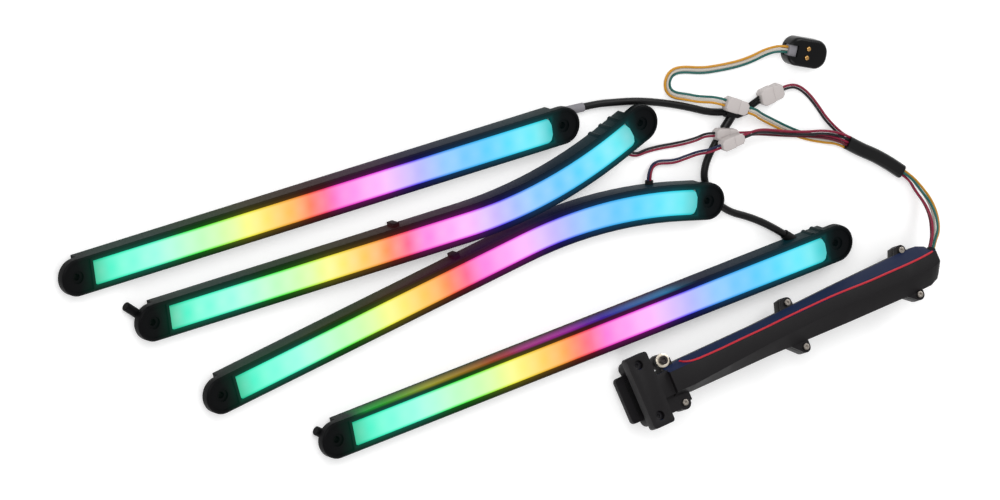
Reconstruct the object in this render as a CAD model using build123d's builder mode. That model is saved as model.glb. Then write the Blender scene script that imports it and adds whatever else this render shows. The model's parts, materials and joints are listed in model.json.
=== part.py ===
from build123d import *
import os
from math import atan2, cos, degrees, pi, radians, sin, tan

# A light kit laid out on a table, faces up: two straight and two curved light bars, a control
# housing with a clamp, a small contact pod, and the wires that join them. Millimetres, +Z up,
# z = 0 at the table, +X along the straight bar nearest the control housing.

# Light bar section
bar_width = 18.0
bar_height = 9.5
tab_thickness = 4.5
floor_thickness = 1.5
edge_chamfer = 0.7
lens_width = 12.0
lens_thickness = 2.2
lens_sunk = 0.3
lens_gap = 0.15
lens_edge = 0.5
lens_corner_left = 1.2
lens_corner_right = 3.6
seal_thickness = 0.5
cavity_width = 10.4
board_width = 9.6
board_thickness = 1.0
board_short_left = 3.0
board_short_right = 5.0
seal_bead_end = 1.4
seal_bead_side = 0.2
cavity_short = 1.0
led_size = 5.0
led_height = 1.6
led_pitch = 12.5

# Light bar ends
tab_left = 18.0
tab_right = 16.0
step_left = 6.5
step_right = 3.0
tab_rim = 1.6
tab_sunk = 1.0
screw_hole_r = 1.7
screw_head_r = 3.2
screw_head_sunk = 1.2

# Curved bars
bend_start = 178.5
bend_radius = 245.0
bend_angle = 21.5

# Each bar: where its left hole stands, its heading, its length and which way it bends
bars = {
    "bar_1": {"at": (-226.64, 83.36), "heading": -3.55, "length": 294.0, "bend": 0},
    "bar_2": {"at": (-191.14, 48.26), "heading": -3.6, "length": 303.0, "bend": 1},
    "bar_3": {"at": (-162.54, 1.36), "heading": 4.9, "length": 303.0, "bend": -1},
    "bar_4": {"at": (-105.44, -41.34), "heading": 0.0, "length": 310.0, "bend": 0},
}

# Where each bar's lead leaves it: the grommet's end is this far before the centre of the bar's right
# end and across from its line, and turned from it; then the grommet's height, radius and depth
outlets = {
    "bar_1": {"before": -15.6, "across": 4.0, "turn": -4.0, "height": 2.4, "radius": 2.2, "depth": 24.6},
    "bar_2": {"before": 11.0, "across": -10.6, "turn": -58.0, "height": 2.2, "radius": 2.0, "depth": 6.6},
    "bar_3": {"before": 30.2, "across": 10.8, "turn": 90.0, "height": 2.2, "radius": 2.0, "depth": 5.6},
    "bar_4": {"before": 24.5, "across": 12.0, "turn": 135.0, "height": 2.5, "radius": 2.4, "depth": 9.6},
}
outlet_clearance = 2.0

# Screw posts under the end tabs, and the pegs that stand out behind two of the left tabs
post_r = 2.6
peg_r = 2.25
peg_height = 3.0
peg_round = 0.5
pegs = {
    "bar_2": {"turn": 137.0, "reach": 15.2},
    "bar_4": {"turn": 140.0, "reach": 10.4},
}

# Small clips and ribs along the rear walls: how far along the bar, and how far before its right end
nub_length = 3.2
nub_depth = 1.5
nub_height = 6.0
nubs = {"bar_2": 140.5, "bar_3": 143.0}
rib_r = 1.5
rib_out = 0.7
ribs = {"bar_2": (23.0, 16.0, 10.0), "bar_4": (12.5, 7.5)}

# Control housing: its own frame lies along the seam, rolled towards the bars
housing_at = (74.96, -74.14, 14.0)
housing_heading = 2.9
housing_roll = 20.0
housing_length = 159.5
wall = 1.6
seam_gap = 0.6
shell_top = 8.0
shell_shoulder = 2.0
wire_edge = 4.6
shell_flank = 5.0
keel_half = 6.0
keel_ridge = housing_at[2] / cos(radians(housing_roll))
keel_chine = keel_ridge - keel_half * tan(radians(housing_roll))

# Control housing stations along its length: half width and the low edge of the flat top
stations = [
    (0.0, 7.4, 5.4),
    (10.0, 8.4, 5.6),
    (56.0, 8.5, 2.9),
    (104.0, 9.8, 1.5),
    (housing_length - 17.5, 10.4, 2.6),
    (housing_length - 6.5, 10.2, 2.6),
    (housing_length - 2.0, 8.4, 1.8),
    (housing_length, 6.0, 0.8),
]

# Shell screws
boss_r = 2.7
boss_depth = 5.0
boss_height = 1.8
boss_at = (76.6, housing_length - 14.4)
m2_shank_r = 1.0
m2_head_r = 1.5
m2_head_height = 1.1
m2_socket_r = 0.7
m2_socket_depth = 0.7
m2_grip = 6.2
head_room = 1.0
fit_gap = 0.05

# Each side's bosses: distance out, then how far before the screw the fairing's foot and shoulder are
boss_sides = {
    1: {"out": 11.3, "foot": 5.4, "shoulder": 3.2},
    -1: {"out": 11.9, "foot": 8.8, "shoulder": 1.8},
}
fairing_drop = 0.5

# Nose ears and screws
ear_right = (1.5, 11.0)
ear_left = (3.9, -11.9)
ear_r = 3.4
arm_forward = 1.5
arm_middle = 0.6
arm_reach = 0.8
arm_narrower = 1.0
arm_thickness = 2.6
washer_r = 3.5
washer_thickness = 0.8
m3_shank_r = 1.5
m3_head_r = 2.1
m3_head_height = 1.4
m3_socket_r = 1.1
m3_socket_depth = 0.9
m3_grip = 8.0

# Clamp
plate_near = -6.8
plate_far = -18.8
plate_low = -17.6
plate_high = 18.9
plate_under = 1.5
plate_top = 7.0
plate_corner = 1.6
clamp_hole_x = -13.4
clamp_hole_y = (14.0, -12.3)
clamp_head_r = 2.3
clamp_head_height = 1.8
clamp_head_sunk = 3.8
clamp_socket_r = 1.1
clamp_socket_depth = 1.2
clamp_bolt_short = 0.1
jaw_top = -5.6
jaw_bottom = -8.5
jaw_front = -22.0
jaw_half = 11.7
jaw_short = 0.6
jaw_corner = 2.0
pad_thickness = 0.5
pad_inset = 1.2
pad_short = 3.0
lug_r = 3.3
clamp_bolt_r = 1.25
nut_r = 2.6
nut_height = 1.8
nut_clearance = 0.05
lug_top = 0.4
lug_bridge_inset = 0.3
neck_half = 6.0
neck_into_shell = 1.0
neck_high = 5.6
web_low = -14.0
web_into_plate = 1.0

# Inside the control housing
cell_size = (50.0, 9.0, 7.0)
cell_at = 114.0
cell_low = -10.6
cell_corner = 1.5
control_board_size = (44.0, 12.0, 1.6)
control_board_at = 34.0
control_board_low = -6.0
chip_size = 6.0
chip_height = 1.2
chip_pitch = 12.0
chips = 3
standoff_apart = 18.0
standoff_length = 4.0
standoff_width = (9.0, 8.0)
standoff_rise = 2.6
gasket_inset = 0.4
gasket_width = 0.9

# Red lead in the housing's own frame: its start, its end measured back from the housing's end, and the
# shares of the run between them at which it stands a little further out or in
lead_r = 0.5
lead_start = [(9.6, 7.4, 3.4), (10.4, 6.4, 5.6), (13.0, 5.4, 7.4), (17.0, 5.0, 8.0)]
lead_end = [(9.5, 4.3, 8.0), (4.5, 4.6, 7.9), (1.7, 4.75, 7.45)]
lead_waves = [(0.1, 4.75), (0.2, 5.0), (0.3, 5.0), (0.41, 5.4), (0.52, 5.5), (0.61, 5.5), (0.685, 5.1), (0.77, 4.5),
              (0.865, 4.4), (0.94, 4.2)]
lead_height = 7.95

# Where the wires leave the housing: a short grommet through the corner of its right end
grommet_at = (housing_length + 0.2, 6.3, 4.4)
grommet_turn = 50.0
grommet_r = 2.1
grommet_depth = 5.4

# Contact pod
pod_at = (191.3, 54.7)
pod_heading = -26.7
pod_length = 23.0
pod_width = 14.0
pod_height = 7.0
pod_corner = 6.3
pod_wall = 1.4
pod_cover_thickness = 1.2
pod_edge = 1.9
contact_r = 1.15
contact_flange_r = 1.5
contact_proud = 0.7
contact_travel = 0.6
contact_gap = 0.05
contact_x = -0.6
contact_spacing = 4.4
pod_block = (4.4, 5.6, 4.2)
pod_block_in = 0.9
pod_block_rise = 0.6
pod_board_inset = 0.5
contact_flange = 0.8
contact_round = 0.4
pod_board_thickness = 1.0

# Wires, cables and what is on them
wire_r = 0.6
wire_step = 1.36
cable_r = 1.8
connector_length = 13.0
connector_height = 5.0
connector_share = 0.56
connector_step = 0.5
connector_corner = 1.5
connectors = {
    "pod": {"at": (145.86, 43.16, 7.0), "heading": -33.0, "width": 7.2},
    "bar_2": {"at": (137.4, 31.5, 7.0), "heading": -18.0, "width": 5.8},
    "bar_3": {"at": (136.8, 28.8, 12.2), "heading": 2.0, "width": 5.8},
    "cables": {"at": (168.86, 40.66, 2.6), "heading": 3.0, "width": 8.0},
}
splice_at = (148.3, 39.0)
splice_heading = -14.0
splice_end = (4.9, 4.4)
splice_middle = (7.4, 4.4)
splice_tip = (4.6, 3.4)
splice_overall = 13.0
splice_belly = 0.5
splice_corner_share = 0.35
splice_wire_count = 3
splice_wire_sunk = 1.5
splice_wire_gap = 0.25
branch_heading = 38.9
branch_end = (139.8, 32.7)
branch_r = 2.15
branch_length = 8.0
sleeve_width = 6.8
sleeve_height = 5.0
sleeve_corner = 2.0
sleeve_lead_in = 4.5
sleeve_route = [(206.13, 3.18, 2.6), (212.6, -2.6, 2.6), (220.31, -8.47, 2.6), (227.27, -14.99, 2.6),
                (233.12, -21.13, 2.6)]
ring_r = 1.2
tail_looseness = 1.7

os.makedirs("parts", exist_ok=True)
names = []


def save(piece, name):
    """Labels a finished piece and writes it."""
    piece.part.label = name
    export_step(piece.part, f"parts/{name}.step")
    names.append(name)


def bar_plane(bar, height=0.0):
    """A bar's own plane: origin at its left hole, X along its straight part."""
    x, y = bar["at"]
    a = radians(bar["heading"])
    return Plane(origin=(x, y, height), x_dir=(cos(a), sin(a), 0), z_dir=(0, 0, 1))


def path_length(bar):
    """Distance between the centres of a bar's two round ends."""
    return bar["length"] - bar_width


def place(bar, distance):
    """Centre line point and heading at a distance along a bar, in the bar's own plane."""
    bend = radians(bend_angle)
    if bar["bend"] == 0 or distance <= bend_start:
        return distance, 0.0, 0.0
    turned = min((distance - bend_start) / bend_radius, bend)
    after = max(distance - bend_start - bend_radius * bend, 0.0)
    x = bend_start + bend_radius * sin(turned) + after * cos(turned)
    y = bend_radius * (1 - cos(turned)) + after * sin(turned)
    return x, bar["bend"] * y, bar["bend"] * degrees(turned)


def band(bar, start, end, width):
    """A square-ended strip of a width along the bar's centre line, inside a sketch."""
    half = width / 2
    if bar["bend"] == 0 or end <= bend_start:
        with Locations(((start + end) / 2, 0)):
            Rectangle(end - start, width)
        return
    x, y, turn = place(bar, end)
    far = (-half * sin(radians(turn)), half * cos(radians(turn)))
    corners = [(x + far[0], y + far[1]), (x - far[0], y - far[1])]
    with BuildLine(mode=Mode.PRIVATE) as edge:
        left = JernArc((bend_start, half), (1, 0), bend_radius - bar["bend"] * half, turn)
        right = JernArc((bend_start, -half), (1, 0), bend_radius + bar["bend"] * half, turn)
        Line((start, half), (bend_start, half))
        Line((start, -half), (bend_start, -half))
        Line((start, half), (start, -half))
        if end > bend_start + bend_radius * radians(bend_angle):
            Line(left @ 1, corners[0])
            Line(right @ 1, corners[1])
            Line(*corners)
        else:
            Line(left @ 1, right @ 1)
    make_face(edge.edges())


def round_band(bar, width):
    """The whole bar's outline, round at both ends, inside a sketch."""
    band(bar, 0, path_length(bar), width)
    x, y, _ = place(bar, path_length(bar))
    with Locations((0, 0), (x, y)):
        Circle(width / 2)


def lens_ends(bar):
    """Distances along the bar where its lens starts and ends."""
    return tab_left - bar_width / 2, path_length(bar) - (tab_right - bar_width / 2)


def beside(bar, distance, across, height=0.0):
    """A world point beside a bar's centre line."""
    x, y, heading = place(bar, distance)
    a = radians(heading)
    return bar_plane(bar).from_local_coords((x - across * sin(a), y + across * cos(a), height))


def outlet_end(name):
    """The outer end of a bar's grommet and the heading that it points in."""
    bar, outlet = bars[name], outlets[name]
    distance = path_length(bar) - outlet["before"]
    heading = bar["heading"] + place(bar, distance)[2] + outlet["turn"]
    return beside(bar, distance, outlet["across"], outlet["height"]), radians(heading)


def outlet_cylinder(name, short, mode):
    """The cylinder of a bar's grommet, cut short at its inner end."""
    outlet = outlets[name]
    origin, a = outlet_end(name)
    plane = Plane(origin=origin, z_dir=(-cos(a), -sin(a), 0))
    with BuildSketch(plane, mode=Mode.PRIVATE) as disc:
        Circle(outlet["radius"])
    extrude(disc.sketch, amount=outlet["depth"] - short, mode=mode)


def make_bar(name, bar):
    """One light bar: moulded channel, seal, lens, strip board, lights and grommet."""
    start, end = lens_ends(bar)
    lens_low = bar_height - lens_sunk - lens_thickness
    cavity_top = lens_low - seal_thickness

    with BuildPart() as channel:
        with BuildSketch(bar_plane(bar)):
            band(bar, start - step_left, end + step_right, bar_width)
        extrude(amount=bar_height)
        with BuildSketch(bar_plane(bar, bar_height - tab_thickness)):
            round_band(bar, bar_width)
        extrude(amount=tab_thickness)
        chamfer(channel.edges().group_by(Axis.Z)[-1], edge_chamfer)
        post_height = bar_height - tab_thickness
        for distance in (0, path_length(bar)):
            with Locations(Location(beside(bar, distance, 0))):
                Cylinder(post_r, post_height, align=(Align.CENTER, Align.CENTER, Align.MIN))
        if name in pegs:
            a = radians(bar["heading"] + pegs[name]["turn"])
            with BuildSketch(Plane(origin=beside(bar, 0, 0, peg_height), z_dir=(cos(a), sin(a), 0))):
                Circle(peg_r)
            extrude(amount=pegs[name]["reach"])
            tip = channel.faces().sort_by(Axis(beside(bar, 0, 0), (cos(a), sin(a), 0)))[-1]
            fillet(tip.edges(), peg_round)
        if name in nubs:
            out = (bar_width + nub_depth) / 2
            with Locations(Location(beside(bar, nubs[name], out), (0, 0, bar["heading"]))):
                Box(nub_length, nub_depth, nub_height, align=(Align.CENTER, Align.CENTER, Align.MIN))
        for before in ribs.get(name, ()):
            with Locations(Location(beside(bar, path_length(bar) - before, bar_width / 2 - rib_r + rib_out))):
                Cylinder(rib_r, bar_height - edge_chamfer, align=(Align.CENTER, Align.CENTER, Align.MIN))
        with BuildSketch(bar_plane(bar, bar_height)):
            band(bar, start - lens_gap, end + lens_gap, lens_width + 2 * lens_gap)
        extrude(amount=-(bar_height - cavity_top), mode=Mode.SUBTRACT)
        with BuildSketch(bar_plane(bar, cavity_top)):
            band(bar, start + cavity_short, end - cavity_short, cavity_width)
        extrude(amount=-(cavity_top - floor_thickness), mode=Mode.SUBTRACT)
        for distance, inward, reach in ((0, 1, start), (path_length(bar), -1, path_length(bar) - end)):
            x, y, heading = place(bar, distance)
            hollow = reach - lens_gap - tab_rim
            with BuildSketch(bar_plane(bar, bar_height)):
                with Locations(Location((x, y), heading)):
                    Circle(bar_width / 2 - tab_rim)
                    with Locations((inward * hollow / 2, 0)):
                        Rectangle(hollow, bar_width - 2 * tab_rim)
            extrude(amount=-tab_sunk, mode=Mode.SUBTRACT)
            with Locations(bar_plane(bar, bar_height - tab_sunk) * Location((x, y, 0))):
                CounterBoreHole(screw_hole_r, screw_head_r, screw_head_sunk, bar_height)
        outlet_cylinder(name, 0, Mode.SUBTRACT)
    save(channel, f"{name}_channel")

    with BuildPart() as seal:
        with BuildSketch(bar_plane(bar, cavity_top)):
            band(bar, start, end, lens_width)
        extrude(amount=seal_thickness)
        with BuildSketch(bar_plane(bar, cavity_top)):
            band(bar, start + seal_bead_end, end - seal_bead_end, cavity_width - 2 * seal_bead_side)
        extrude(amount=seal_thickness, mode=Mode.SUBTRACT)
    save(seal, f"{name}_seal")

    with BuildPart() as lens:
        with BuildSketch(bar_plane(bar, lens_low)):
            band(bar, start, end, lens_width)
        extrude(amount=lens_thickness)
        upright = lens.edges().filter_by(Axis.Z)
        frame = bar_plane(bar)
        along_bar = upright.sort_by(Axis(frame.origin, frame.x_dir))
        fillet(along_bar[:2], lens_corner_left)
        upright = lens.edges().filter_by(Axis.Z)
        fillet(upright.sort_by(Axis(frame.origin, frame.x_dir))[-2:], lens_corner_right)
        chamfer(lens.edges().group_by(Axis.Z)[-1], lens_edge)
    save(lens, f"{name}_lens")

    with BuildPart() as board:
        with BuildSketch(bar_plane(bar, floor_thickness)):
            band(bar, start + board_short_left, end - board_short_right, board_width)
        extrude(amount=board_thickness)
    save(board, f"{name}_strip_board")

    count = int((end - start - board_short_left - board_short_right) // led_pitch)
    first = (start + end - board_short_right - (count - 1) * led_pitch) / 2
    with BuildPart() as lights:
        for index in range(count):
            x, y, heading = place(bar, first + index * led_pitch)
            with BuildSketch(bar_plane(bar, floor_thickness + board_thickness)):
                with Locations(Location((x, y), heading)):
                    Rectangle(led_size, led_size)
            extrude(amount=led_height)
    save(lights, f"{name}_lights")

    with BuildPart() as grommet:
        outlet_cylinder(name, outlet_clearance, Mode.ADD)
    save(grommet, f"{name}_grommet")


for bar_name, bar_sizes in bars.items():
    make_bar(bar_name, bar_sizes)


# Control housing
heading, roll = radians(housing_heading), radians(housing_roll)
along = Vector(cos(heading), sin(heading), 0)
side = Vector(-sin(heading), cos(heading), 0)
outward = Vector(side.X * sin(roll), side.Y * sin(roll), cos(roll))
housing = Plane(origin=housing_at, x_dir=along, z_dir=outward)


def level(height):
    """A plane across the housing at a height over its seam."""
    return housing.offset(height)


def station_plane(u):
    """A plane square to the housing at a distance along it: its X is across, its Y up."""
    return Plane(origin=housing.from_local_coords((u, 0, 0)), x_dir=housing.y_dir, z_dir=housing.x_dir)


def top_section(half, low, inset):
    """The top shell's cross-section at a station, drawn in by an inset."""
    high = shell_top - inset
    base = seam_gap - inset
    return [(half - inset, base), (half - inset, shell_shoulder), (wire_edge - inset * 0.5, high),
            (-low + inset * 0.5, high), (-half + inset, shell_shoulder), (-half + inset, base)]


def bottom_section(half, low, inset):
    """The bottom shell's cross-section at a station, drawn in by an inset."""
    keel = min(keel_half, half - 0.6) - inset
    chine = -keel_ridge + keel * tan(radians(housing_roll)) + inset * 1.2
    return [(-half + inset, inset), (-half + inset, -shell_flank), (-keel, chine), (0, -keel_ridge + inset * 1.2),
            (keel, chine), (half - inset, -shell_flank), (half - inset, inset)]


def shell_form(section, inset, mode=Mode.ADD):
    """A shell's solid form, lofted through its stations."""
    chosen = stations if inset == 0 else stations[:-1]
    sections = []
    for index, (u, half, low) in enumerate(chosen):
        if inset and index == 0:
            u = inset
        with BuildSketch(station_plane(u), mode=Mode.PRIVATE) as outline:
            Polygon(*section(half, low, inset), align=None)
        sections.append(outline.sketch)
    loft(sections, ruled=True, mode=mode)


def half_width(u):
    """Half the housing's width at a distance along it."""
    for (u0, h0, _), (u1, h1, _) in zip(stations, stations[1:]):
        if u <= u1:
            return h0 + (h1 - h0) * (u - u0) / (u1 - u0)
    return stations[-1][1]


def boss(u, sign, low, high):
    """A screw boss with its fairing beside the housing, between two heights."""
    form = boss_sides[sign]
    inner = half_width(u) - wall
    outer = form["out"] + boss_r
    with BuildSketch(level(low), mode=Mode.PRIVATE) as outline:
        with Locations((u, sign * form["out"])):
            Circle(boss_r)
        Polygon((u - form["foot"], sign * inner), (u + boss_r, sign * inner), (u + boss_r, sign * form["out"]),
                (u, sign * outer), (u - form["shoulder"], sign * (outer - fairing_drop)), align=None)
    extrude(outline.sketch, amount=high - low)


def ear(at, low, high):
    """A nose ear with the arm that joins it to the housing, between two heights."""
    with BuildSketch(level(low), mode=Mode.PRIVATE) as outline:
        with Locations(at):
            Circle(ear_r)
        with Locations((at[0] + arm_forward, at[1] * arm_middle)):
            Rectangle(2 * ear_r - arm_narrower, abs(at[1]) * arm_reach)
    extrude(outline.sketch, amount=high - low)


lead_finish = [(housing_length - before, v, w) for before, v, w in lead_end]
lead_run = lead_finish[0][0] - lead_start[-1][0]
lead_middle = [(lead_start[-1][0] + share * lead_run, v, lead_height) for share, v in lead_waves]
lead_path = lead_start + lead_middle + lead_finish
boss_places = [(u, sign * form["out"]) for u in boss_at for sign, form in boss_sides.items()]
m2_places = boss_places + [ear_left]


def corner_radii(points):
    """The radius of each bend of a route: 0.45 of the shorter run over the tangent of half the turn."""
    radii = []
    for before, at, after in zip(points, points[1:], points[2:]):
        first = Vector(*at) - Vector(*before)
        second = Vector(*after) - Vector(*at)
        turn = radians(first.get_angle(second))
        radii.append(0.45 * min(first.length, second.length) / tan(turn / 2))
    return radii


def tube(points, radius, mode=Mode.ADD):
    """A round tube along straight runs joined by tangent arcs."""
    with BuildLine(mode=Mode.PRIVATE) as route:
        FilletPolyline(*points, radius=corner_radii(points))
    start = Vector(*points[0])
    with BuildSketch(Plane(origin=start, z_dir=Vector(*points[1]) - start), mode=Mode.PRIVATE) as disc:
        Circle(radius)
    sweep(disc.sketch, path=route.line, mode=mode)
    return sum(edge.length for edge in route.edges())


lead_route = [tuple(housing.from_local_coords(p)) for p in lead_path]


def bore(places, low, high, radius):
    """Holes square to the seam between two heights."""
    with BuildSketch(level(low), mode=Mode.PRIVATE) as discs:
        with Locations(*places):
            Circle(radius)
    extrude(discs.sketch, amount=high - low, mode=Mode.SUBTRACT)


def block(center, size, low, high, mode=Mode.ADD, corner=0.0):
    """A block square to the seam between two heights."""
    with BuildSketch(level(low), mode=Mode.PRIVATE) as outline:
        with Locations(center):
            if corner:
                RectangleRounded(*size, corner)
            else:
                Rectangle(*size)
    extrude(outline.sketch, amount=high - low, mode=mode)


plate_center = ((plate_near + plate_far) / 2, (plate_low + plate_high) / 2)
plate_size = (plate_near - plate_far, plate_high - plate_low)
clamp_places = [(clamp_hole_x, y) for y in clamp_hole_y]
grommet_way = housing.x_dir.rotate(Axis((0, 0, 0), housing.z_dir), grommet_turn)
grommet_out = Vector(housing.from_local_coords(grommet_at))
grommet_plane = Plane(origin=grommet_out, x_dir=housing.z_dir, z_dir=-grommet_way)

with BuildPart() as top_shell:
    shell_form(top_section, 0)
    for u in boss_at:
        for sign in (1, -1):
            boss(u, sign, seam_gap, boss_height)
    for at in (ear_right, ear_left):
        ear(at, seam_gap, arm_thickness)
    neck_size = (neck_into_shell - plate_near, 2 * neck_half)
    block(((plate_near + neck_into_shell) / 2, 0), neck_size, seam_gap, neck_high)
    web_start = plate_near - web_into_plate
    web_size = (ear_left[0] - web_start, -web_low)
    block(((web_start + ear_left[0]) / 2, web_low / 2), web_size, seam_gap, arm_thickness)
    block(plate_center, plate_size, plate_under, plate_top, corner=plate_corner)
    shell_form(top_section, wall, mode=Mode.SUBTRACT)
    bore(m2_places, seam_gap, boss_height + 1, m2_shank_r + fit_gap)
    bore(boss_places, boss_height, boss_height + m2_head_height + head_room, m2_head_r + fit_gap)
    bore([ear_right], seam_gap, arm_thickness + 1, m3_shank_r + fit_gap)
    bore(clamp_places, plate_under, plate_top, clamp_bolt_r + fit_gap)
    bore(clamp_places, plate_top - clamp_head_sunk, plate_top, clamp_head_r + fit_gap)
    with BuildSketch(grommet_plane):
        Circle(grommet_r)
    extrude(amount=grommet_depth, mode=Mode.SUBTRACT)
    tube(lead_route, lead_r + fit_gap, mode=Mode.SUBTRACT)
save(top_shell, "control_top_shell")

with BuildPart() as bottom_shell:
    shell_form(bottom_section, 0)
    for u in boss_at:
        for sign in (1, -1):
            boss(u, sign, -boss_depth, 0)
    for at in (ear_right, ear_left):
        ear(at, -boss_depth, 0)
    shell_form(bottom_section, wall, mode=Mode.SUBTRACT)
    for middle, width, top in ((control_board_at, standoff_width[0], control_board_low),
                               (cell_at, standoff_width[1], cell_low)):
        for u in (middle - standoff_apart, middle + standoff_apart):
            block((u, 0), (standoff_length, width), -keel_ridge + standoff_rise, top)
    bore(m2_places, -m2_grip + boss_height, 0, m2_shank_r + fit_gap)
    bore([ear_right], -m3_grip + arm_thickness + washer_thickness, 0, m3_shank_r + fit_gap)
save(bottom_shell, "control_bottom_shell")

with BuildPart() as gasket:
    for inset, mode in ((gasket_inset, Mode.ADD), (gasket_inset + gasket_width, Mode.SUBTRACT)):
        rim = [(max(min(u, housing_length - inset), inset), half - inset) for u, half, _ in stations]
        with BuildSketch(level(0)):
            Polygon(*rim, *[(u, -half) for u, half in reversed(rim)], align=None)
        extrude(amount=seam_gap, mode=mode)
save(gasket, "control_gasket")

with BuildPart() as control_board:
    chip_low = control_board_low + control_board_size[2]
    block((control_board_at, 0), control_board_size[:2], control_board_low, chip_low)
save(control_board, "control_board")

with BuildPart() as control_chips:
    for index in range(chips):
        u = control_board_at + (index - (chips - 1) / 2) * chip_pitch
        block((u, 0), (chip_size, chip_size), chip_low, chip_low + chip_height)
save(control_chips, "control_chips")

with BuildPart() as cell:
    block((cell_at, 0), cell_size[:2], cell_low, cell_low + cell_size[2], corner=cell_corner)
save(cell, "control_battery")


def screw(at, seat, shank_r, head_r, head_height, grip, socket_r, socket_depth):
    """A socket screw whose head stands on a seat height."""
    with BuildSketch(level(seat - grip), mode=Mode.PRIVATE) as shank:
        with Locations(at):
            Circle(shank_r)
    extrude(shank.sketch, amount=grip)
    with BuildSketch(level(seat), mode=Mode.PRIVATE) as head:
        with Locations(at):
            Circle(head_r)
    extrude(head.sketch, amount=head_height)
    with BuildSketch(level(seat + head_height), mode=Mode.PRIVATE) as socket:
        with Locations(at):
            RegularPolygon(socket_r, 6)
    extrude(socket.sketch, amount=-socket_depth, mode=Mode.SUBTRACT)


with BuildPart() as shell_screws:
    for at in boss_places:
        screw(at, boss_height, m2_shank_r, m2_head_r, m2_head_height, m2_grip, m2_socket_r, m2_socket_depth)
    screw(ear_left, arm_thickness, m2_shank_r, m2_head_r, m2_head_height, m2_grip, m2_socket_r, m2_socket_depth)
save(shell_screws, "control_screws")

with BuildPart() as nose_washer:
    with BuildSketch(level(arm_thickness)):
        with Locations(ear_right):
            Circle(washer_r)
            Circle(m3_shank_r + fit_gap, mode=Mode.SUBTRACT)
    extrude(amount=washer_thickness)
save(nose_washer, "nose_washer")

with BuildPart() as nose_screw:
    screw(ear_right, arm_thickness + washer_thickness, m3_shank_r, m3_head_r, m3_head_height, m3_grip,
          m3_socket_r, m3_socket_depth)
save(nose_screw, "nose_screw")

with BuildPart() as end_grommet:
    with BuildSketch(grommet_plane):
        Circle(grommet_r)
    extrude(amount=grommet_depth)
save(end_grommet, "end_grommet")

with BuildPart() as red_lead:
    lead_length = tube(lead_route, lead_r)
print("red_lead length", round(lead_length, 1), "radii", [round(r, 1) for r in corner_radii(lead_route)])
print("red_lead volume over section", round(red_lead.part.volume / (pi * lead_r**2), 1))
save(red_lead, "red_lead")

# Clamp
with BuildPart() as jaw:
    jaw_near = plate_near - jaw_short
    block(((jaw_near + jaw_front) / 2, 0), (jaw_near - jaw_front, 2 * jaw_half), jaw_bottom, jaw_top,
          corner=jaw_corner)
    with BuildSketch(level(jaw_bottom)):
        with Locations(*clamp_places):
            Circle(lug_r)
    extrude(amount=lug_top - jaw_bottom)
    bridge = (2 * (lug_r - lug_bridge_inset), clamp_hole_y[0] - clamp_hole_y[1])
    block((clamp_hole_x, sum(clamp_hole_y) / 2), bridge, jaw_bottom, jaw_top)
    bore(clamp_places, jaw_bottom, lug_top, clamp_bolt_r + fit_gap)
    with BuildSketch(level(jaw_bottom)):
        with Locations(*clamp_places):
            RegularPolygon(nut_r, 6)
    extrude(amount=nut_height, mode=Mode.SUBTRACT)
save(jaw, "clamp_jaw")

pad_center = ((plate_near + plate_far) / 2, 0)
pad_size = (plate_near - plate_far - 2 * pad_inset, 2 * (jaw_half - pad_short))
with BuildPart() as plate_pad:
    block(pad_center, pad_size, plate_under - pad_thickness, plate_under)
save(plate_pad, "clamp_plate_pad")
with BuildPart() as jaw_pad:
    block(pad_center, pad_size, jaw_top, jaw_top + pad_thickness)
save(jaw_pad, "clamp_jaw_pad")

with BuildPart() as clamp_bolts:
    seat = plate_top - clamp_head_sunk
    for at in clamp_places:
        screw(at, seat, clamp_bolt_r, clamp_head_r, clamp_head_height, seat - jaw_bottom - clamp_bolt_short,
              clamp_socket_r, clamp_socket_depth)
save(clamp_bolts, "clamp_bolts")

with BuildPart() as clamp_nuts:
    with BuildSketch(level(jaw_bottom)):
        with Locations(*clamp_places):
            RegularPolygon(nut_r - nut_clearance, 6)
            Circle(clamp_bolt_r + fit_gap, mode=Mode.SUBTRACT)
    extrude(amount=nut_height)
save(clamp_nuts, "clamp_nuts")

# Contact pod
pod_way = radians(pod_heading)
pod = Plane(origin=(*pod_at, 0), x_dir=(cos(pod_way), sin(pod_way), 0), z_dir=(0, 0, 1))
contact_places = [(contact_x, y * contact_spacing / 2) for y in (1, -1)]
pod_ceiling = pod_height - pod_wall
block_low = pod_cover_thickness + pod_block_rise
with BuildPart() as pod_case:
    with BuildSketch(pod):
        RectangleRounded(pod_length, pod_width, pod_corner)
    extrude(amount=pod_height)
    fillet(pod_case.edges().group_by(Axis.Z)[-1], pod_edge)
    with BuildSketch(pod):
        RectangleRounded(pod_length - 2 * pod_wall, pod_width - 2 * pod_wall, pod_corner - pod_wall)
    extrude(amount=pod_ceiling, mode=Mode.SUBTRACT)
    with BuildSketch(pod):
        with Locations(*contact_places):
            Circle(contact_r + contact_gap)
    extrude(amount=pod_height, mode=Mode.SUBTRACT)
    with BuildSketch(pod.offset(block_low)):
        with Locations((-pod_length / 2, 0)):
            Rectangle(2 * (pod_block_in + pod_block[0]), pod_block[1])
    extrude(amount=pod_height, mode=Mode.SUBTRACT)
save(pod_case, "pod_case")

with BuildPart() as pod_cover:
    with BuildSketch(pod):
        RectangleRounded(pod_length - 2 * pod_wall, pod_width - 2 * pod_wall, pod_corner - pod_wall)
    extrude(amount=pod_cover_thickness)
save(pod_cover, "pod_cover")

with BuildPart() as pod_board:
    with BuildSketch(pod.offset(pod_cover_thickness)):
        inset = pod_wall + pod_board_inset
        RectangleRounded(pod_length - 2 * inset, pod_width - 2 * inset, pod_corner - inset)
        with Locations((-pod_length / 2, 0)):
            Rectangle(2 * (pod_block_in + pod_block[0] + pod_board_inset), pod_width, mode=Mode.SUBTRACT)
    extrude(amount=pod_board_thickness)
save(pod_board, "pod_board")

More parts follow.
